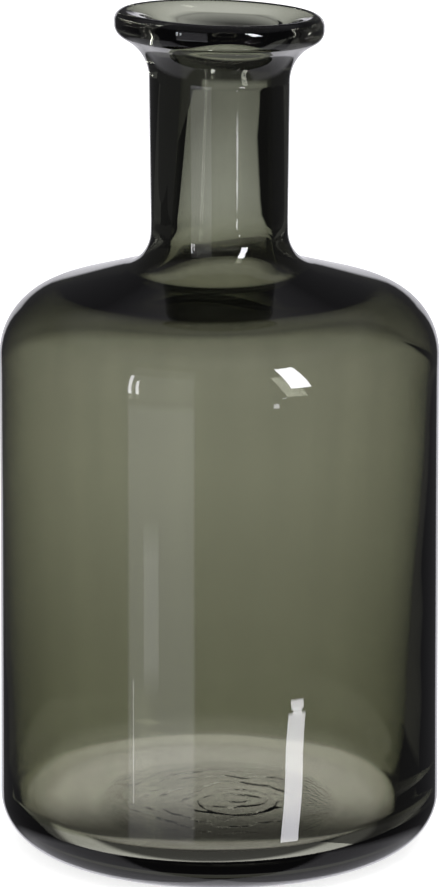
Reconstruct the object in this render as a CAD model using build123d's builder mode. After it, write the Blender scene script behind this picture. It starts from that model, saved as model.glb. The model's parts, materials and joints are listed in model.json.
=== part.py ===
from build123d import *
import math
import os

os.makedirs("parts", exist_ok=True)

# Bottle vase, free-blown from one gather of smoky glass.
# The whole vase is a single piece of glass: a flared, fire-polished lip, a thick neck,
# a sloping shoulder, a nearly straight body and a heavy base with a pushed-up underside.
# Its section is drawn to the right of the axis and turned once round it.
# Millimetres, +Z up, origin on the axis in the plane of the foot.

# Overall sizes of the outside
height = 300.0
foot_corner_radius = 79.4       # the body, carried down to the foot plane
waist_radius = 78.5             # narrowest ring of the body
waist_height = 112.0
shoulder_corner_radius = 78.1   # the body, carried up to the shoulder slope
shoulder_corner_height = 197.5
neck_foot_radius = 24.3
neck_top_radius = 24.8
lip_overhang = 12.1             # how far the lip stands out from the neck
lip_edge = 8.3                  # thickness of the lip at its outer edge

# Slopes, in degrees from the level
shoulder_slope = 15.6
lip_rise = 31.2                 # underside of the flared lip
dish_slope = 8.3                # top of the lip, falling towards the bore

# Rounding of the outside
heel_radius = 17.0
shoulder_radius = 25.0
neck_foot_round = 13.0
flare_share = 1.25              # of the lip's overhang
lip_top_share = 0.42            # of the lip's edge
lip_under_share = 0.58          # of the lip's edge

# Glass thickness
base_wall = 10.5                # floor above the foot plane, at the corner of the floor
floor_crown = 2.5               # the floor rises this much towards the middle
heel_wall = 9.2                 # side wall, carried down to the floor
low_wall = 3.6                  # side wall at the waist height
top_wall = 1.9                  # side wall, carried up to the shoulder
shoulder_wall = 1.7             # slope of the shoulder, carried out to its edge
collar_wall = 6.0               # slope of the shoulder, where its wall is thickest
collar_radius = 29.0
bore_foot_slope = 31.4          # the slope from the bore to the thickest ring, in degrees
bore_top_radius = 15.2
bore_foot_radius = 18.5

# Rounding of the inside
floor_round = 18.0
shoulder_inner_round = 24.0
collar_round = 12.0
bore_foot_round = 16.0
throat_round = 17.4

# Pushed-up underside, with the flat scar that the blower's rod leaves in its middle
kick_radius = 46.0              # inside of the ring that the vase stands on
kick_top_radius = 43.0          # top of the step up from that ring
kick_edge = 1.2                 # height of the step
kick_depth = 1.9                # height of the push-up in its middle
kick_round = 3.0
scar_radius = 15.0
scar_step = 0.6                 # how far the scar stands below the top of the push-up
scar_round = 0.3

# Corners of the outside, before rounding
shoulder_fall = math.tan(math.radians(shoulder_slope))
lip_radius = neck_top_radius + lip_overhang
neck_foot_height = shoulder_corner_height + (shoulder_corner_radius - neck_foot_radius) * shoulder_fall
dish_angle = math.radians(dish_slope)
lip_top_radius = lip_top_share * lip_edge
# The rounded lip's highest ring touches the full height, so its sharp corner lies a little above
lip_corner_height = (height - lip_top_radius
                     + lip_top_radius * (1 + math.sin(dish_angle)) / math.cos(dish_angle))
lip_under_height = lip_corner_height - lip_edge
neck_top_height = lip_under_height - lip_overhang * math.tan(math.radians(lip_rise))

scar_corner = (scar_radius, kick_depth - scar_step)
kick_top_corner = (kick_top_radius, kick_edge)
kick_corner = (kick_radius, 0)
heel_corner = (foot_corner_radius, 0)
shoulder_corner = (shoulder_corner_radius, shoulder_corner_height)
neck_foot_corner = (neck_foot_radius, neck_foot_height)
neck_top_corner = (neck_top_radius, neck_top_height)
lip_under_corner = (lip_radius, lip_under_height)
lip_top_corner = (lip_radius, lip_corner_height)

# Corners of the inside, before rounding
throat_height = lip_corner_height - (lip_radius - bore_top_radius) * math.tan(dish_angle)
slope_cosine = math.cos(math.radians(shoulder_slope))
inner_shoulder_radius = shoulder_corner_radius - top_wall
inner_shoulder_height = shoulder_corner_height + top_wall * shoulder_fall - shoulder_wall / slope_cosine
collar_height = (neck_foot_height - (collar_radius - neck_foot_radius) * shoulder_fall
                 - collar_wall / slope_cosine)
bore_foot_fall = math.tan(math.radians(bore_foot_slope))
bore_foot_height = collar_height + (collar_radius - bore_foot_radius) * bore_foot_fall

throat_corner = (bore_top_radius, throat_height)
bore_foot_corner = (bore_foot_radius, bore_foot_height)
collar_corner = (collar_radius, collar_height)
inner_shoulder_corner = (inner_shoulder_radius, inner_shoulder_height)
inner_waist = (waist_radius - low_wall, waist_height)
floor_corner = (foot_corner_radius - heel_wall, base_wall)

rounded_corners = [
    (scar_corner, scar_round),
    (kick_top_corner, kick_round),
    (kick_corner, kick_round),
    (heel_corner, heel_radius),
    (shoulder_corner, shoulder_radius),
    (neck_foot_corner, neck_foot_round),
    (neck_top_corner, flare_share * lip_overhang),
    (lip_under_corner, lip_under_share * lip_edge),
    (lip_top_corner, lip_top_radius),
    (throat_corner, throat_round),
    (bore_foot_corner, bore_foot_round),
    (collar_corner, collar_round),
    (inner_shoulder_corner, shoulder_inner_round),
    (floor_corner, floor_round),
]

# The glass
with BuildPart() as glass_bottle:
    with BuildSketch(Plane.XZ) as section:
        with BuildLine():
            # Underside, pushed up in the middle, and the flat ring that it stands on
            TangentArc((0, kick_depth), kick_top_corner, tangent=(1, 0))
            Polyline(kick_top_corner, kick_corner, heel_corner)
            # Outside, from the heel up to the lip
            ThreePointArc(heel_corner, (waist_radius, waist_height), shoulder_corner)
            Polyline(shoulder_corner, neck_foot_corner, neck_top_corner, lip_under_corner, lip_top_corner)
            # Inside, from the dished lip down the bore to the floor
            Polyline(lip_top_corner, throat_corner, bore_foot_corner, collar_corner, inner_shoulder_corner)
            ThreePointArc(inner_shoulder_corner, inner_waist, floor_corner)
            TangentArc((0, base_wall + floor_crown), floor_corner, tangent=(1, 0))
            Line((0, base_wall + floor_crown), (0, kick_depth))
        make_face()
        with Locations((0, kick_depth - scar_step)):
            Rectangle(scar_radius, base_wall - kick_depth, align=(Align.MIN, Align.MIN))
        for corner, radius in rounded_corners:
            fillet(section.vertices().sort_by_distance(corner)[0], radius)
    revolve(axis=Axis.Z)
glass_bottle.part.label = "glass_bottle"
export_step(glass_bottle.part, "parts/glass_bottle.step")
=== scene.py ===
import json
import math

import bpy
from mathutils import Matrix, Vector

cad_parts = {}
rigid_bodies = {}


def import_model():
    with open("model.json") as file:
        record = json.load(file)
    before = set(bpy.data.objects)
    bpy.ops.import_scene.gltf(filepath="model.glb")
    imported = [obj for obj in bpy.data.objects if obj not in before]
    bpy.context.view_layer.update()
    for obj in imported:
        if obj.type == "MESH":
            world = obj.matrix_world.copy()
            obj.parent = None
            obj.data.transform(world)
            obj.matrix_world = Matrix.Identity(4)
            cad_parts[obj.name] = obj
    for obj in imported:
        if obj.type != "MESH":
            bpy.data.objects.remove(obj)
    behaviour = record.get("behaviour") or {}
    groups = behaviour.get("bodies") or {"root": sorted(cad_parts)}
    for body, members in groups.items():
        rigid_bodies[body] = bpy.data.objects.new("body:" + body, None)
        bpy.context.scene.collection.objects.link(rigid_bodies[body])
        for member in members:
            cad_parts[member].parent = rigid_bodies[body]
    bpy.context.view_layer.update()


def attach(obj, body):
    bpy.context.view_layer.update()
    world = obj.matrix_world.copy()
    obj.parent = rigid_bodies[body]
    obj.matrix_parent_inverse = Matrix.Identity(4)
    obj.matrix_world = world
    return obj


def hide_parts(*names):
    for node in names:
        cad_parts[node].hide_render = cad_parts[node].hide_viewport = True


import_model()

# Free-blown bottle vase of smoky glass. The shape is written in millimetres and turned to metres
# by MM; places in the shaders and in the studio are written in metres.
MM = 0.001

# ---------------------------------------------------------------------------------------------
# Shape of the glass: the section is drawn from the axis outwards, up the outside and back down
# the inside, and turned once round the axis. The sizes are those of the built part, apart from
# the corner of the floor, the push-up and the rod's scar.

HEIGHT = 300.0
FOOT_RADIUS, WAIST_RADIUS, SHOULDER_RADIUS = 79.4, 78.5, 78.1
WAIST_HEIGHT, SHOULDER_HEIGHT = 112.0, 197.5
NECK_FOOT_RADIUS, NECK_TOP_RADIUS = 24.3, 24.8
LIP_OVERHANG, LIP_EDGE, LIP_RISE, DISH_SLOPE = 12.1, 8.3, 31.2, 8.3
SHOULDER_SLOPE = 15.6
HEEL_ROUND, SHOULDER_ROUND, NECK_FOOT_ROUND, FLARE_ROUND = 17.0, 25.0, 13.0, 15.125
LIP_TOP_ROUND, LIP_UNDER_ROUND = 3.486, 4.814
BASE_WALL, FLOOR_CROWN, HEEL_WALL, LOW_WALL, TOP_WALL = 10.5, 2.5, 9.2, 3.6, 1.9
SHOULDER_WALL, COLLAR_WALL, COLLAR_RADIUS, BORE_FOOT_SLOPE = 1.7, 6.0, 29.0, 31.4
BORE_TOP_RADIUS, BORE_FOOT_RADIUS = 15.2, 18.5
INNER_SHOULDER_ROUND, COLLAR_ROUND = 24.0, 12.0
BORE_FOOT_ROUND, THROAT_ROUND = 16.0, 17.4
KICK_RADIUS, KICK_TOP_RADIUS, KICK_ROUND = 46.0, 43.0, 3.0
SCAR_RADIUS = 15.0
# As the photo shows them: a tighter corner and a shallower push-up than the built part's
FLOOR_ROUND = 10.0
KICK_EDGE, KICK_DEPTH, SCAR_STEP = 0.12, 0.8, 0.25

# How far the blown glass strays from the even section
CAVITY_LEAN = -2.6              # the cavity stands to the left, low down
CAVITY_LEAN_COLLAR = 0.12       # share of that lean at the collar
CAVITY_LEAN_SHOULDER = 0.2      # and under the shoulder
BORE_LEAN = 1.7                 # the bore stands to the right, at the throat
BORE_LEAN_RIM = 0.32            # share of that lean where the dish of the lip ends
BORE_LEAN_FOOT = 0.4            # and at the foot of the bore
SCAR_SHIFT = 8.0                # the rod's scar is off the middle of the push-up
LIP_TILT_ACROSS = 1.9           # degrees, left end of the lip up
LIP_TILT_FRONT = 0.2            # degrees, front of the lip up
OUTER_WAVES, INNER_WAVES = 0.10, 0.5

TURN_STEPS = 192                # faces round the vase
BEND_STEP = math.radians(6.0)   # turn of one edge in a rounding
WALL_RINGS = 40                 # edges along the outside and the inside of the side wall
SCAR_RINGS, KICK_RINGS, FLOOR_RINGS = 12, 22, 32
NECK_RINGS, DISH_RINGS, BORE_RINGS, SLOPE_RINGS = 10, 4, 18, 8
BEND_ROOM = 24.0                # height of the wall that is left to the rounding of the shoulder

FALL = math.tan(math.radians(SHOULDER_SLOPE))
SLOPE_COSINE = math.cos(math.radians(SHOULDER_SLOPE))
DISH = math.radians(DISH_SLOPE)
LIP_RADIUS = NECK_TOP_RADIUS + LIP_OVERHANG
NECK_FOOT_HEIGHT = SHOULDER_HEIGHT + (SHOULDER_RADIUS - NECK_FOOT_RADIUS) * FALL
LIP_TOP_HEIGHT = HEIGHT - LIP_TOP_ROUND + LIP_TOP_ROUND * (1 + math.sin(DISH)) / math.cos(DISH)
LIP_UNDER_HEIGHT = LIP_TOP_HEIGHT - LIP_EDGE
NECK_TOP_HEIGHT = LIP_UNDER_HEIGHT - LIP_OVERHANG * math.tan(math.radians(LIP_RISE))
NECK_LOW, NECK_HIGH = NECK_FOOT_HEIGHT + 14, NECK_TOP_HEIGHT - 9    # the straight of the neck
THROAT_HEIGHT = LIP_TOP_HEIGHT - (LIP_RADIUS - BORE_TOP_RADIUS) * math.tan(DISH)
INNER_SHOULDER_RADIUS = SHOULDER_RADIUS - TOP_WALL
INNER_SHOULDER_HEIGHT = SHOULDER_HEIGHT + TOP_WALL * FALL - SHOULDER_WALL / SLOPE_COSINE
COLLAR_HEIGHT = (
    NECK_FOOT_HEIGHT - (COLLAR_RADIUS - NECK_FOOT_RADIUS) * FALL - COLLAR_WALL / SLOPE_COSINE
)
BORE_FOOT_HEIGHT = COLLAR_HEIGHT + (
    (COLLAR_RADIUS - BORE_FOOT_RADIUS) * math.tan(math.radians(BORE_FOOT_SLOPE))
)
FLOOR_RADIUS = FOOT_RADIUS - HEEL_WALL

# Corners of the section before rounding, as (radius, height)
SHOULDER = (SHOULDER_RADIUS, SHOULDER_HEIGHT)
NECK_FOOT = (NECK_FOOT_RADIUS, NECK_FOOT_HEIGHT)
NECK_TOP = (NECK_TOP_RADIUS, NECK_TOP_HEIGHT)
LIP_UNDER = (LIP_RADIUS, LIP_UNDER_HEIGHT)
LIP_TOP = (LIP_RADIUS, LIP_TOP_HEIGHT)
THROAT = (BORE_TOP_RADIUS, THROAT_HEIGHT)
BORE_FOOT = (BORE_FOOT_RADIUS, BORE_FOOT_HEIGHT)
COLLAR = (COLLAR_RADIUS, COLLAR_HEIGHT)
INNER_SHOULDER = (INNER_SHOULDER_RADIUS, INNER_SHOULDER_HEIGHT)


def curve_through(low, middle, high):
    """Radius of a gently bowed wall at a height, through three (radius, height) points."""
    (r0, z0), (r1, z1), (r2, z2) = low, middle, high
    first = (r1 - r0) / (z1 - z0)
    bow = ((r2 - r1) / (z2 - z1) - first) / (z2 - z0)
    return lambda z: r0 + first * (z - z0) + bow * (z - z0) * (z - z1)


def line_through(first, second):
    """Height of a straight slope at a radius, through two (radius, height) points."""
    (r0, z0), (r1, z1) = first, second
    return lambda r: z0 + (z1 - z0) * (r - r0) / (r1 - r0)


def dome(top, edge, radius):
    """Height of a shallow dome at a radius, from its top on the axis to its edge."""
    return lambda r: top - (top - edge) * (r / radius) ** 2


def ease(value, low, high):
    """0 below low, 1 above high, and a smooth step between."""
    share = min(max((value - low) / (high - low), 0.0), 1.0)
    return share * share * (3 - 2 * share)


def spaced(first, last, steps):
    """Values in even steps, with both ends."""
    return [first + (last - first) * step / steps for step in range(steps + 1)]


outer_wall = curve_through((FOOT_RADIUS, 0.0), (WAIST_RADIUS, WAIST_HEIGHT), SHOULDER)
inner_wall = curve_through(
    (FLOOR_RADIUS, BASE_WALL), (WAIST_RADIUS - LOW_WALL, WAIST_HEIGHT), INNER_SHOULDER
)
push_up = dome(KICK_DEPTH, KICK_EDGE, KICK_TOP_RADIUS)
inner_floor = dome(BASE_WALL + FLOOR_CROWN, BASE_WALL, FLOOR_RADIUS)
lip_dish = line_through(THROAT, LIP_TOP)
inner_slope = line_through(COLLAR, INNER_SHOULDER)


class Pen:
    """Draws the section with the edge tools: extrude for a run, spin for a rounding."""

    def __init__(self, name, start):
        bpy.ops.mesh.primitive_plane_add(size=MM, location=(0, 0, 0))
        self.piece = bpy.context.object
        self.piece.name = name
        bpy.ops.object.mode_set(mode="EDIT")
        bpy.ops.mesh.select_mode(type="VERT")
        bpy.ops.mesh.select_all(action="SELECT")
        bpy.ops.mesh.merge(type="CENTER")
        step = Vector(start) * MM
        bpy.ops.transform.translate(value=(step.x, 0, step.y))
        self.place = Vector(start)

    def weigh(self, **weights):
        """Weights of the last point in vertex groups; the points drawn from it start with them."""
        for name, weight in weights.items():
            if name not in self.piece.vertex_groups:
                bpy.ops.object.vertex_group_add()
                self.piece.vertex_groups.active.name = name
            self.piece.vertex_groups.active_index = self.piece.vertex_groups[name].index
            bpy.context.tool_settings.vertex_group_weight = weight
            bpy.ops.object.vertex_group_assign()

    def run(self, point, steps=1):
        """A straight run to a (radius, height) point."""
        step = (Vector(point) - self.place) / steps * MM
        for _ in range(steps):
            bpy.ops.mesh.extrude_region_move(TRANSFORM_OT_translate={"value": (step.x, 0, step.y)})
        self.place = Vector(point)

    def corner(self, corner, onward, radius, steps=1, weights=None):
        """A straight run towards a corner, rounded off towards the point that comes after it.

        With weights, a function of the share of the rounding, it is drawn by short runs instead
        of one spin, so that the weights can change along it.
        """
        corner, onward = Vector(corner), Vector(onward)
        back = (self.place - corner).normalized()
        ahead = (onward - corner).normalized()
        half = back.angle(ahead) / 2
        reach = radius / math.tan(half)
        centre = corner + (back + ahead).normalized() * radius / math.sin(half)
        turn = math.copysign(math.pi - 2 * half, back.y * ahead.x - back.x * ahead.y)
        self.run(corner + back * reach, steps)
        count = max(3, round(abs(turn) / BEND_STEP))
        if weights is None:
            bpy.ops.mesh.spin(
                steps=count, angle=turn, center=(centre.x * MM, 0, centre.y * MM), axis=(0, 1, 0)
            )
            self.place = corner + ahead * reach
            return
        arm = self.place - centre
        for step in range(1, count + 1):
            sine, cosine = math.sin(turn * step / count), math.cos(turn * step / count)
            swung = Vector((arm.x * cosine - arm.y * sine, arm.y * cosine + arm.x * sine))
            self.run(centre + swung)
            self.weigh(**weights(step / count))


def lip_share(z):
    """How far a height of the neck follows the tilt of the lip."""
    return ease(z, NECK_LOW, NECK_HIGH + 4)


def draw_underside(pen):
    """The rod's scar, the push-up and the flat ring that the vase stands on."""
    pen.weigh(scar=1.0)
    pen.run((SCAR_RADIUS - 1.0, KICK_DEPTH - SCAR_STEP), SCAR_RINGS)
    pen.run((SCAR_RADIUS, push_up(SCAR_RADIUS)), 3)
    for r in spaced(SCAR_RADIUS, KICK_TOP_RADIUS - 1, KICK_RINGS)[1:]:
        pen.run((r, push_up(r)))
        pen.weigh(scar=1 - ease(r, SCAR_RADIUS, KICK_TOP_RADIUS))
    pen.weigh(scar=0.0)
    pen.corner((KICK_TOP_RADIUS, KICK_EDGE), (KICK_RADIUS, 0.0), KICK_ROUND)
    pen.corner((KICK_RADIUS, 0.0), (FOOT_RADIUS, 0.0), KICK_ROUND)


def draw_outside(pen):
    """From the heel up to the top of the lip."""
    pen.corner((FOOT_RADIUS, 0.0), (outer_wall(20), 20.0), HEEL_ROUND, 4)
    low = HEEL_ROUND + 4
    for z in spaced(low, SHOULDER_HEIGHT - BEND_ROOM, WALL_RINGS):
        pen.run((outer_wall(z), z))
        pen.weigh(outside=ease(z, low, low + 30))
    pen.corner(SHOULDER, NECK_FOOT, SHOULDER_ROUND)
    pen.corner(NECK_FOOT, NECK_TOP, NECK_FOOT_ROUND, 8)
    radii = spaced(NECK_FOOT_RADIUS, NECK_TOP_RADIUS, NECK_RINGS)
    for r, z in zip(radii, spaced(NECK_LOW, NECK_HIGH, NECK_RINGS)):
        pen.run((r, z))
        pen.weigh(lip=lip_share(z))
    pen.weigh(lip=1.0)
    pen.corner(NECK_TOP, LIP_UNDER, FLARE_ROUND)
    pen.corner(LIP_UNDER, LIP_TOP, LIP_UNDER_ROUND)
    pen.corner(LIP_TOP, THROAT, LIP_TOP_ROUND)


def draw_neck_inside(pen):
    """From the dished lip down the bore to its foot, under the collar."""
    dish_edge, dish_end = LIP_RADIUS - LIP_TOP_ROUND - 0.7, BORE_TOP_RADIUS + 15.7
    for step, r in enumerate(spaced(dish_edge, dish_end, DISH_RINGS)[1:], 1):
        pen.run((r, lip_dish(r)))
        pen.weigh(bore=BORE_LEAN_RIM * step / DISH_RINGS)
    pen.corner(
        THROAT, BORE_FOOT, THROAT_ROUND,
        weights=lambda share: {"bore": BORE_LEAN_RIM + (1 - BORE_LEAN_RIM) * ease(share, 0, 1)},
    )
    heights = spaced(pen.place.y - 2, BORE_FOOT_HEIGHT + 9, BORE_RINGS)
    for step, z in enumerate(heights):
        share = (THROAT_HEIGHT - z) / (THROAT_HEIGHT - BORE_FOOT_HEIGHT)
        pen.run((BORE_TOP_RADIUS + (BORE_FOOT_RADIUS - BORE_TOP_RADIUS) * share, z))
        pen.weigh(bore=1 - (1 - BORE_LEAN_FOOT) * step / BORE_RINGS, lip=lip_share(z))
    pen.weigh(lip=0.0, cavity=CAVITY_LEAN_COLLAR, inside=0.0)
    pen.corner(
        BORE_FOOT, COLLAR, BORE_FOOT_ROUND,
        weights=lambda share: {"bore": BORE_LEAN_FOOT * (1 - ease(share, 0, 1))},
    )


def draw_body_inside(pen):
    """From the collar out under the shoulder, down the wall and over the floor to the axis."""
    pen.corner(COLLAR, INNER_SHOULDER, COLLAR_ROUND)
    radii = spaced(COLLAR_RADIUS + 4, COLLAR_RADIUS + 26, SLOPE_RINGS)
    for step, r in enumerate(radii[1:], 1):
        pen.run((r, inner_slope(r)))
        pen.weigh(inside=step / SLOPE_RINGS)
    low, high = BASE_WALL + 20, INNER_SHOULDER_HEIGHT - BEND_ROOM
    pen.weigh(cavity=CAVITY_LEAN_SHOULDER)
    pen.corner(INNER_SHOULDER, (inner_wall(high), high), INNER_SHOULDER_ROUND)
    for z in spaced(high, low, WALL_RINGS):
        pen.run((inner_wall(z), z))
        pen.weigh(cavity=1 - (1 - CAVITY_LEAN_SHOULDER) * ease(z, 60, high + 12))
    further_in = FLOOR_RADIUS - 30
    pen.corner((FLOOR_RADIUS, BASE_WALL), (further_in, inner_floor(further_in)), FLOOR_ROUND)
    for r in spaced(pen.place.x, 0.0, FLOOR_RINGS)[1:]:
        pen.run((r, inner_floor(r)))


def blow_glass():
    """The whole vase as one closed shell of glass."""
    pen = Pen("smoky_glass_vase", (0.0, KICK_DEPTH - SCAR_STEP))
    draw_underside(pen)
    draw_outside(pen)
    draw_neck_inside(pen)
    draw_body_inside(pen)
    bpy.ops.mesh.select_all(action="SELECT")
    bpy.ops.mesh.spin(steps=TURN_STEPS, angle=2 * math.pi, center=(0, 0, 0), axis=(0, 0, 1))
    bpy.ops.mesh.select_all(action="SELECT")
    bpy.ops.mesh.remove_doubles(threshold=0.01 * MM)
    bpy.ops.mesh.normals_make_consistent(inside=False)
    bpy.ops.object.mode_set(mode="OBJECT")
    bpy.ops.object.shade_smooth()
    return pen.piece


BLEND_SPAN = 2000.0             # millimetres over which a blend texture rises from 0 to 1


def stray(piece, group, direction, strength, texture=None, level=0.0):
    """Pushes the weighted part of the glass off its even shape, by a length in millimetres."""
    push = piece.modifiers.new(group + "_" + direction.lower(), "DISPLACE")
    push.vertex_group = group
    push.direction = direction
    push.strength = strength * MM
    push.mid_level = level
    if texture:
        push.texture = texture
        push.texture_coords = "LOCAL"
    bpy.ops.object.modifier_apply(modifier=push.name)


def tilt(piece, group, degrees, name, axis):
    """Tilts the weighted part of the glass, by a plain ramp across the vase."""
    ramp = bpy.data.textures.new(name, "BLEND")
    ramp.use_flip_axis = axis
    stray(piece, group, "Z", -BLEND_SPAN * math.tan(math.radians(degrees)), ramp, 0.5)


def waves(name, length, basis):
    """Slow waves of a hand-blown wall, of a length in millimetres."""
    cloud = bpy.data.textures.new(name, "CLOUDS")
    cloud.noise_scale = length * MM
    cloud.noise_depth = 1
    cloud.noise_basis = basis
    return cloud


def loosen_glass(piece):
    """Leans, tilts and waves the shell as the hand-blown one is."""
    stray(piece, "cavity", "X", CAVITY_LEAN)
    stray(piece, "bore", "X", BORE_LEAN)
    stray(piece, "scar", "X", SCAR_SHIFT)
    tilt(piece, "lip", LIP_TILT_ACROSS, "lip_slant_across", "HORIZONTAL")
    tilt(piece, "lip", LIP_TILT_FRONT, "lip_slant_front", "VERTICAL")
    outer = waves("outer_waves", 70, "ORIGINAL_PERLIN")
    inner = waves("inner_waves", 60, "IMPROVED_PERLIN")
    stray(piece, "outside", "NORMAL", OUTER_WAVES, outer, 0.5)
    stray(piece, "inside", "NORMAL", INNER_WAVES, inner, 0.5)


# ---------------------------------------------------------------------------------------------
# Shader parts

def feed(tree, socket, value):
    """Links a socket, or writes a plain value into it."""
    if isinstance(value, bpy.types.NodeSocket):
        tree.links.new(value, socket)
    elif value is not None:
        socket.default_value = value


def group_start(name, vectors, numbers, output, kind="Float"):
    """A node group with vector and number inputs and one output."""
    group = bpy.data.node_groups.new(name, "ShaderNodeTree")
    for label in vectors:
        group.interface.new_socket(label, in_out="INPUT", socket_type="NodeSocketVector")
    for label in numbers:
        group.interface.new_socket(label, in_out="INPUT", socket_type="NodeSocketFloat")
    group.interface.new_socket(output, in_out="OUTPUT", socket_type="NodeSocket" + kind)
    given = group.nodes.new("NodeGroupInput").outputs
    return group, given, group.nodes.new("NodeGroupOutput").inputs[0]


def place_group(tree, group, **values):
    node = tree.nodes.new("ShaderNodeGroup")
    node.node_tree = group
    for label, value in values.items():
        feed(tree, node.inputs[label], value)
    return node.outputs[0]


def math_node(tree, operation, first, second=None, third=None):
    node = tree.nodes.new("ShaderNodeMath")
    node.operation = operation
    for socket, value in zip(node.inputs, (first, second, third)):
        feed(tree, socket, value)
    return node.outputs[0]


def product(tree, first, *others):
    for value in others:
        first = math_node(tree, "MULTIPLY", first, value)
    return first


def parts_of(tree, vector):
    """The x, y and z of a vector."""
    node = tree.nodes.new("ShaderNodeSeparateXYZ")
    tree.links.new(vector, node.inputs[0])
    return node.outputs["X"], node.outputs["Y"], node.outputs["Z"]


def from_axis(tree, x, y):
    """Distance from the axis of the vase."""
    squares = math_node(tree, "ADD", product(tree, x, x), product(tree, y, y))
    return math_node(tree, "SQRT", squares)


def rising(tree, value, low, high, start=0.0, end=1.0, kind="SMOOTHSTEP"):
    """A step of a value between two levels."""
    node = tree.nodes.new("ShaderNodeMapRange")
    node.interpolation_type = kind
    feed(tree, node.inputs["Value"], value)
    labels = ("From Min", "From Max", "To Min", "To Max")
    for label, number in zip(labels, (low, high, start, end)):
        feed(tree, node.inputs[label], number)
    return node.outputs["Result"]


def inside_edges(tree, distances, softness):
    """1 well inside all edges, 0 well outside one of them, from the distances to them."""
    masks = []
    for distance in distances:
        node = tree.nodes.new("ShaderNodeClamp")
        ramp = math_node(tree, "ADD", math_node(tree, "DIVIDE", distance, softness), 0.5)
        tree.links.new(ramp, node.inputs["Value"])
        masks.append(node.outputs[0])
    return product(tree, *masks)


def noise(tree, place, scale):
    node = tree.nodes.new("ShaderNodeTexNoise")
    feed(tree, node.inputs["Vector"], place)
    feed(tree, node.inputs["Scale"], scale)
    node.inputs["Detail"].default_value = 3.0
    return node.outputs[0]


def emission(tree, strength):
    node = tree.nodes.new("ShaderNodeEmission")
    feed(tree, node.inputs["Strength"], strength)
    return node.outputs[0]


def mix(tree, factor, first, second):
    node = tree.nodes.new("ShaderNodeMixShader")
    feed(tree, node.inputs[0], factor)
    tree.links.new(first, node.inputs[1])
    tree.links.new(second, node.inputs[2])
    return node.outputs[0]


# ---------------------------------------------------------------------------------------------
# Glass

# Smoke colour of one wall, by share of the height: darker low down and at the collar
SMOKE = (
    (0.05, (0.325, 0.333, 0.250)),
    (0.25, (0.376, 0.381, 0.304)),
    (0.37, (0.435, 0.441, 0.360)),
    (0.52, (0.478, 0.483, 0.402)),
    (0.63, (0.445, 0.450, 0.380)),
    (0.67, (0.290, 0.297, 0.230)),
    (0.71, (0.310, 0.317, 0.250)),
    (0.745, (0.460, 0.470, 0.400)),
    (0.78, (0.560, 0.570, 0.505)),
    (0.84, (0.545, 0.555, 0.490)),
    (0.89, (0.505, 0.515, 0.450)),
)
# Painted light: a paler colour in the floor of the glass, standing for light through the base
FLOOR_PAINTED_LIGHT = (1.0, 0.97, 1.0, 1)
GLASS_IOR = 1.5
SKIN_GRAZE, SKIN_POWER = 1.03, -0.37    # how much darker a slanting look through the skin is
STREAK_SCALE, STREAK_DEPTH = 110.0, 0.16
STREAK_SQUEEZE = (1.0, 1.0, 0.06)       # draws the noise out into upright streaks
SEED_SCALE, SEED_SIZE = 24.0, 0.018
SWIRL_DEPTH = 0.13
RING_WAVES = (42.0, 9.0, 2.0, 1.3)      # scale, distortion, detail and its scale
SCRATCH_WAVES = (150.0, 7.0, 3.0, 2.5)


def tint_group():
    """The smoke colour of one wall: darker low down, paler in the neck; painted light in the floor.
    """
    group, given, out = group_start("smoke_tint", ["Place"], [], "Colour", "Color")
    x, y, z = parts_of(group, given["Place"])
    ramp = group.nodes.new("ShaderNodeValToRGB")
    group.links.new(math_node(group, "DIVIDE", z, HEIGHT * MM), ramp.inputs[0])
    while len(ramp.color_ramp.elements) < len(SMOKE):
        ramp.color_ramp.elements.new(0.5)
    for element, (height, colour) in zip(ramp.color_ramp.elements, SMOKE):
        element.position = height
        element.color = (*colour, 1)
    # The floor of the vase is painted paler, as painted light through the base
    radius = from_axis(group, x, y)
    painted_light_disc = product(
        group,
        rising(group, radius, 0.0775, 0.0745),          # inside the outer wall
        rising(group, z, 0.021, 0.0125),                # below the corner of the floor
        rising(group, radius, 0.071, 0.056, 0.5, 1.0),  # half as much at its edge
    )
    blend = group.nodes.new("ShaderNodeMix")
    blend.data_type = "RGBA"
    group.links.new(painted_light_disc, blend.inputs[0])
    group.links.new(ramp.outputs["Color"], blend.inputs[6])
    blend.inputs[7].default_value = FLOOR_PAINTED_LIGHT
    group.links.new(blend.outputs[2], out)
    return group


def streak_group():
    """Faint upright streaks drawn out by the blowing, round 1."""
    group, given, out = group_start("blown_streaks", ["Place"], ["Scale", "Depth"], "Level")
    squeeze = group.nodes.new("ShaderNodeMapping")
    squeeze.inputs["Scale"].default_value = STREAK_SQUEEZE
    group.links.new(given["Place"], squeeze.inputs["Vector"])
    level = math_node(group, "SUBTRACT", noise(group, squeeze.outputs[0], given["Scale"]), 0.5)
    group.links.new(math_node(group, "MULTIPLY_ADD", level, given["Depth"], 1.0), out)
    return group


def seed_group():
    """Sparse dark specks and bubbles: 1 in the clear glass, less in a speck."""
    group, given, out = group_start("seeds", ["Place"], ["Scale", "Size"], "Level")
    cells = group.nodes.new("ShaderNodeTexVoronoi")
    group.links.new(given["Place"], cells.inputs["Vector"])
    group.links.new(given["Scale"], cells.inputs["Scale"])
    core = product(group, given["Size"], 0.6)
    group.links.new(rising(group, cells.outputs["Distance"], core, given["Size"], 0.25), out)
    return group


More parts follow.
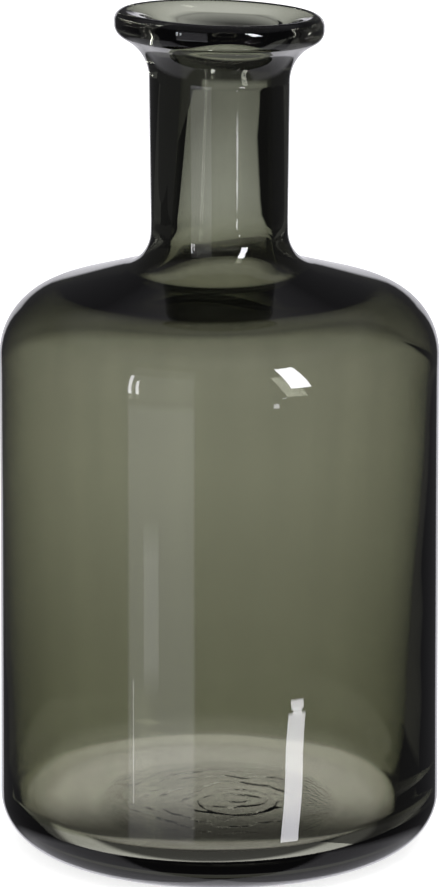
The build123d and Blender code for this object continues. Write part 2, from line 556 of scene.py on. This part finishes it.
def swirl_group():
    """Height of the swirl that the rod left in the push-up, and of the scratches beside it."""
    group, given, out = group_start("rod_swirl", ["Place", "Centre"], ["Reach"], "Height")
    off = group.nodes.new("ShaderNodeVectorMath")
    off.operation = "SUBTRACT"
    group.links.new(given["Place"], off.inputs[0])
    group.links.new(given["Centre"], off.inputs[1])

    def ring_waves(values):
        node = group.nodes.new("ShaderNodeTexWave")
        node.wave_type, node.rings_direction = "RINGS", "Z"
        group.links.new(off.outputs[0], node.inputs["Vector"])
        for label, value in zip(("Scale", "Distortion", "Detail", "Detail Scale"), values):
            node.inputs[label].default_value = value
        return node.outputs["Fac"]

    x, y, z = parts_of(group, given["Place"])
    radius = from_axis(group, x, y)
    inner = product(group, given["Reach"], 0.55)
    outer = product(group, given["Reach"], 0.7)
    rough = noise(group, given["Place"], 260.0)
    rings = math_node(group, "MULTIPLY_ADD", rough, 0.5, ring_waves(RING_WAVES))
    height = product(group, rings, rising(group, radius, given["Reach"], inner))
    # The scratches lie at the left and the right only, and are shallower
    aside = product(
        group,
        rising(group, math_node(group, "ABSOLUTE", x), inner, outer),
        rising(group, radius, given["Reach"], 0.042),
        0.35,
    )
    height = math_node(group, "MULTIPLY_ADD", ring_waves(SCRATCH_WAVES), aside, height)
    underside = rising(group, z, 0.006, 0.004)
    group.links.new(product(group, height, underside), out)
    return group


def glass_finish():
    material = bpy.data.materials.new("smoky_glass_finish")
    material.use_nodes = True
    tree = material.node_tree
    shader = tree.nodes["Principled BSDF"]
    shader.inputs["Roughness"].default_value = 0.0
    shader.inputs["IOR"].default_value = GLASS_IOR
    shader.inputs["Transmission Weight"].default_value = 1.0
    place = tree.nodes.new("ShaderNodeTexCoord").outputs["Object"]

    tint = place_group(tree, tint_group(), Place=place)
    streaks = place_group(
        tree, streak_group(), Place=place, Scale=STREAK_SCALE, Depth=STREAK_DEPTH
    )
    seeds = place_group(tree, seed_group(), Place=place, Scale=SEED_SCALE, Size=SEED_SIZE)
    scale = tree.nodes.new("ShaderNodeVectorMath")
    scale.operation = "SCALE"
    tree.links.new(tint, scale.inputs[0])
    tree.links.new(product(tree, streaks, seeds), scale.inputs["Scale"])
    # The smoke lies in the skin of the glass, so a slanting look through it is darker
    facing = tree.nodes.new("ShaderNodeLayerWeight")
    facing.inputs["Blend"].default_value = 0.5
    straight = math_node(tree, "SUBTRACT", SKIN_GRAZE, facing.outputs["Facing"])
    skin = tree.nodes.new("ShaderNodeGamma")
    tree.links.new(scale.outputs[0], skin.inputs["Color"])
    tree.links.new(math_node(tree, "POWER", straight, SKIN_POWER), skin.inputs["Gamma"])
    tree.links.new(skin.outputs[0], shader.inputs["Base Color"])

    centre = (SCAR_SHIFT * MM, 0, 0)
    swirl = place_group(tree, swirl_group(), Place=place, Centre=centre, Reach=KICK_RADIUS * MM)
    bump = tree.nodes.new("ShaderNodeBump")
    bump.inputs["Strength"].default_value = 1.0
    bump.inputs["Distance"].default_value = SWIRL_DEPTH * MM
    tree.links.new(swirl, bump.inputs["Height"])
    tree.links.new(bump.outputs[0], shader.inputs["Normal"])
    return material


# ---------------------------------------------------------------------------------------------
# Studio. The camera sees white paper; the glass sees painted light on it behind the vase and
# painted shade at the sides, and bright windows by their direction.

PAPER_COLOUR = (0.85, 0.85, 0.85, 1)
PAPER_GLOW = 0.78               # light of the paper itself, for the camera
# Painted light: the paper as the glass sees it glows between these levels, by painted masks
PAPER_LIT, PAPER_DARK = 0.97, 0.01      # light of the paper, as seen through the glass
# Painted shade: after a turn inside the glass the paper's painted light is cut to this share
TURNED_BACK = 0.08              # share of the paper's light left after a turn inside the glass
# Fainter strips of painted light on the paper, for looks from other sides: heading, spread, far end
SIDE_STRIPS = ((45, 0.23, 0.65), (225, 0.23, 1.2), (90, 0.12, 9.0))
SIDE_STRIP_LEVEL = 0.6

ROOM_WHITE = 1.0                # the room as the camera sees it
ROOM_LIGHT = 0.6                # and the light of it on the paper
ROOM_MIRRORED = 0.06            # level of the room between the bright things that are mirrored
ROOM_THROUGH = 0.10             # level of the room seen through the glass, beside the pale walls
SIDE_WALL = 0.6                 # and of the pale wall at the left
# Painted shade: after a turn inside the glass the windows and the room are shown dimmer
WINDOWS_AGAIN, ROOM_AGAIN = 0.4, 0.02   # windows and room after a turn inside the glass
MIRROR_COLOUR = (0.95, 0.94, 1.0, 1)

# Bright things that the glass mirrors, by direction in degrees: heading at the low end, half the
# width, low, high, turn of the heading per degree of height, softness of the edge, strength
PAPER_AROUND = (
    (0, 19.5, -90, 5, 0, 3.0, 0.85),
    (0, 120, -90, -30, 0, 8.0, 0.50),
    (0, 200, 38, 120, 0, 12.0, 0.15),
)
WINDOWS = (
    (149.5, 17.5, -17.2, -11.4, 0, 1.6, 1.20),
    (149.5, 17.5, -11.4, 20, 0, 1.6, 0.60),
    (149.5, 17.5, 20, 32, 0, 1.6, 0.30),
    (144.4, 4.0, -15.6, -14.0, 0, 0.4, 1.10),
    (134.7, 0.25, -16.85, -15.6, 0, 0.05, 4.0),
    (-137.5, 5.5, 2, 33, -0.18, 0.5, 24.0),
    (-150.5, 1.5, -11.5, -10.6, 0, 0.3, 8.0),
    (-146.5, 1.2, -9.4, -8.95, 0, 0.2, 8.0),
    (-144.35, 4.7, -17.5, -16.04, 3.5, 0.05, 12.0),
    (-139.0, 3.4, -15.98, -15.85, 0, 0.04, 12.0),
    (-139.0, 2.4, -16.05, -15.97, 0, 0.04, 12.0),
    (137.5, 0.8, -6, 12, 0, 0.5, 12.0),
    (133.5, 0.9, -6, 19, 0, 0.5, 12.0),
)


def ground_group():
    """A strip of ground that leaves the vase in one direction and widens with distance."""
    labels = ["Heading", "Width", "Spread", "Near", "Far", "Softness"]
    group, given, out = group_start("strip_of_ground", ["Place"], labels, "Mask")
    x, y, _ = parts_of(group, given["Place"])
    turn = math_node(group, "RADIANS", given["Heading"])
    sine, cosine = math_node(group, "SINE", turn), math_node(group, "COSINE", turn)
    along = math_node(group, "SUBTRACT", product(group, y, cosine), product(group, x, sine))
    across = math_node(group, "ADD", product(group, x, cosine), product(group, y, sine))
    width = math_node(group, "MULTIPLY_ADD", along, given["Spread"], given["Width"])
    distances = (
        math_node(group, "SUBTRACT", width, math_node(group, "ABSOLUTE", across)),
        math_node(group, "SUBTRACT", along, given["Near"]),
        math_node(group, "SUBTRACT", given["Far"], along),
    )
    group.links.new(inside_edges(group, distances, given["Softness"]), out)
    return group


def room_group():
    """A patch of the surroundings, in degrees: its heading, half its width, and its two heights."""
    labels = ["Heading", "Half", "Low", "High", "Slide", "Softness"]
    group, given, out = group_start("patch_of_room", ["Direction"], labels, "Mask")
    x, y, z = parts_of(group, given["Direction"])
    heading = math_node(group, "DEGREES", math_node(group, "ARCTAN2", product(group, x, -1.0), y))
    height = math_node(group, "DEGREES", math_node(group, "ARCSINE", z))
    above = math_node(group, "SUBTRACT", height, given["Low"])
    centre = math_node(group, "MULTIPLY_ADD", above, given["Slide"], given["Heading"])
    off = math_node(group, "WRAP", math_node(group, "SUBTRACT", heading, centre), 180.0, -180.0)
    distances = (
        math_node(group, "SUBTRACT", given["Half"], math_node(group, "ABSOLUTE", off)),
        above,
        math_node(group, "SUBTRACT", given["High"], height),
    )
    group.links.new(inside_edges(group, distances, given["Softness"]), out)
    return group


def floor_finish():
    """White paper, which the glass sees with painted light behind it and painted shade at the
    sides.
    """
    material = bpy.data.materials.new("studio_floor_finish")
    material.use_nodes = True
    tree = material.node_tree
    tree.nodes.clear()
    end = tree.nodes.new("ShaderNodeOutputMaterial")
    rays = tree.nodes.new("ShaderNodeLightPath")
    turns = rays.outputs["Glossy Depth"]
    place = tree.nodes.new("ShaderNodeTexCoord").outputs["Object"]
    x, y, _ = parts_of(tree, place)
    ground = ground_group()

    def strip(heading, width, spread, near, far):
        return place_group(
            tree, ground, Place=place, Heading=heading, Width=width, Spread=spread,
            Near=near, Far=far, Softness=0.01,
        )

    def beyond(limit, side, slope):
        """Changes by a slope with the distance beyond a limit, on one side of it."""
        over = math_node(tree, "SUBTRACT", y, limit)
        return product(tree, math_node(tree, side, over, 0.0), slope)

    # Behind the vase light is painted on the paper.
    # Its right edge lies further out near the vase and far off
    bend = math_node(tree, "ADD", beyond(1.0, "MINIMUM", 0.4), beyond(2.05, "MAXIMUM", -0.6))
    lit = product(
        tree,
        strip(0, 0.35, 0.33, 0.04, 9.0),
        rising(tree, math_node(tree, "ADD", x, bend), 0.29, 0.37, 1.0, 0.0),
        # and the painted light falls off far away and a little to the right
        rising(tree, y, 1.3, 2.6, 1.0, 0.45, "LINEAR"),
        rising(tree, x, -0.05, 0.2, 1.0, 0.86, "LINEAR"),
    )
    for heading, spread, far in SIDE_STRIPS:
        other = product(tree, strip(heading, 0.06, spread, 0.10, far), SIDE_STRIP_LEVEL)
        lit = math_node(tree, "MAXIMUM", lit, other)
    # Painted shade: to rays that the glass turned back inside its wall the paper is painted
    # darker, as if their light came from the dark sides of the room
    lit = product(tree, lit, rising(tree, turns, 0.5, 0.6, 1.0, TURNED_BACK))

    # Under the vase light through the glass is painted on the paper,
    # at the back and in a band at the front
    under = from_axis(tree, x, y)
    back = rising(tree, y, -0.03, 0.015, 0.15, 1.35)
    front = rising(tree, y, -0.042, -0.032, 0.70, 0.0)
    painted_light_disc = product(
        tree,
        math_node(tree, "MAXIMUM", back, front),
        rising(tree, y, -0.060, -0.053, 0.12, 1.0),     # hardly at the very front
        rising(tree, under, 0.092, 0.086),              # up to the edge of the vase
        # painted shade under the push-up
        rising(tree, under, 0.036, 0.046, 0.75, 1.0),   # less in the shade of the push-up
    )
    # and painted shade at the right, where it is seen after a turn inside the glass
    right = math_node(tree, "GREATER_THAN", product(tree, x, turns), 0.045)
    painted_light_disc = product(tree, painted_light_disc, math_node(tree, "MULTIPLY_ADD", right, -0.85, 1.0))
    lit = math_node(tree, "MAXIMUM", lit, painted_light_disc)
    # Painted light: the paper seen through the glass glows by these masks, not by the lamp
    light = math_node(tree, "MULTIPLY_ADD", lit, PAPER_LIT, PAPER_DARK)
    seen_through = emission(tree, light)

    paper = tree.nodes.new("ShaderNodeBsdfDiffuse")
    paper.inputs["Color"].default_value = PAPER_COLOUR
    white = tree.nodes.new("ShaderNodeAddShader")
    tree.links.new(emission(tree, PAPER_GLOW), white.inputs[0])
    tree.links.new(paper.outputs[0], white.inputs[1])
    surface = mix(tree, rays.outputs["Is Camera Ray"], paper.outputs[0], white.outputs[0])
    surface = mix(tree, rays.outputs["Is Transmission Ray"], surface, seen_through)
    tree.links.new(surface, end.inputs["Surface"])
    return material


def studio_floor():
    """Paper under the foot. Reflections pass through it to the room, where PAPER_AROUND is."""
    bpy.ops.mesh.primitive_plane_add(size=6.0, location=(0, 0, -0.3 * MM))
    paper = bpy.context.object
    paper.name = "studio_floor"
    paper.data.materials.append(floor_finish())
    paper.visible_glossy = False
    return paper


def studio_world():
    """The room: white to the camera, and by direction to the glass."""
    world = bpy.data.worlds.new("studio_world")
    bpy.context.scene.world = world
    world.use_nodes = True
    tree = world.node_tree
    tree.nodes.clear()
    end = tree.nodes.new("ShaderNodeOutputWorld")
    rays = tree.nodes.new("ShaderNodeLightPath")
    direction = tree.nodes.new("ShaderNodeTexCoord").outputs["Generated"]
    room = room_group()

    def background(strength, colour=(1, 1, 1, 1)):
        node = tree.nodes.new("ShaderNodeBackground")
        node.inputs["Color"].default_value = colour
        feed(tree, node.inputs["Strength"], strength)
        return node.outputs[0]

    def patch(heading, half, low, high, softness, slide=0.0):
        return place_group(
            tree, room, Direction=direction, Heading=heading, Half=half, Low=low, High=high,
            Slide=slide, Softness=softness,
        )

    def bright(patches, level):
        for heading, half, low, high, slide, softness, strength in patches:
            mask = patch(heading, half, low, high, softness, slide)
            level = math_node(tree, "MULTIPLY_ADD", mask, strength, level)
        return level

    windows = bright(WINDOWS, 0.0)
    mirrored = bright(PAPER_AROUND, math_node(tree, "ADD", windows, ROOM_MIRRORED))

    # Seen through the glass: the pale wall behind, darker upwards, and the one at the left
    height = math_node(tree, "DEGREES", math_node(tree, "ARCSINE", parts_of(tree, direction)[2]))
    upwards = rising(tree, height, -3, 9, 0.42, 0.06, "LINEAR")
    behind = product(tree, patch(-5, 18, -90, 10, 1.5), upwards)
    walls = math_node(tree, "ADD", behind, ROOM_THROUGH)
    walls = math_node(tree, "MULTIPLY_ADD", patch(90, 8, -90, 10, 1.5), SIDE_WALL, walls)
    # Painted shade: rays that the glass turned back inside its wall see the windows again, fainter,
    # and the room darker
    turned = rising(tree, rays.outputs["Glossy Depth"], 0.5, 0.6)
    straight = math_node(tree, "SUBTRACT", 1.0, turned)
    again = math_node(tree, "MULTIPLY_ADD", windows, WINDOWS_AGAIN, ROOM_AGAIN)
    through = math_node(
        tree, "ADD", product(tree, walls, straight), product(tree, again, turned)
    )

    to_camera = background(ROOM_WHITE)
    surface = mix(tree, rays.outputs["Is Camera Ray"], background(ROOM_LIGHT), to_camera)
    in_mirror = background(mirrored, MIRROR_COLOUR)
    surface = mix(tree, rays.outputs["Is Glossy Ray"], surface, in_mirror)
    surface = mix(tree, rays.outputs["Is Transmission Ray"], surface, background(through))
    tree.links.new(surface, end.inputs["Surface"])


def studio_camera():
    """The camera of the photo, as fitted to the outline of the vase."""
    camera = bpy.data.cameras.new("studio_camera")
    camera.sensor_width = 36.0
    camera.lens = 188.3
    holder = bpy.data.objects.new("studio_camera", camera)
    bpy.context.scene.collection.objects.link(holder)
    holder.location = (0.0002, -1.6125, 0.5289)
    holder.rotation_euler = (math.radians(76.611), 0, 0)
    bpy.context.scene.camera = holder


def studio_lamp():
    """Soft light from above on the paper, which the glass doesn't show."""
    lamp = bpy.data.lights.new("studio_overhead", "AREA")
    lamp.shape = "RECTANGLE"
    lamp.size, lamp.size_y = 1.2, 1.2
    lamp.energy = 12.0
    holder = bpy.data.objects.new("studio_overhead", lamp)
    bpy.context.scene.collection.objects.link(holder)
    holder.location = (0.2, -0.3, 1.6)
    aim = Vector((0, 0, 0.1))
    holder.rotation_euler = (aim - holder.location).to_track_quat("-Z", "Y").to_euler()
    holder.visible_transmission = False
    holder.visible_glossy = False


bpy.context.scene.view_settings.view_transform = "Standard"
for item in bpy.context.scene.objects:
    item.select_set(False)

vase = blow_glass()
loosen_glass(vase)
vase.data.materials.clear()
vase.data.materials.append(glass_finish())
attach(vase, "root")
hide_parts("glass_bottle")

floor = studio_floor()

studio_world()
studio_camera()
studio_lamp()
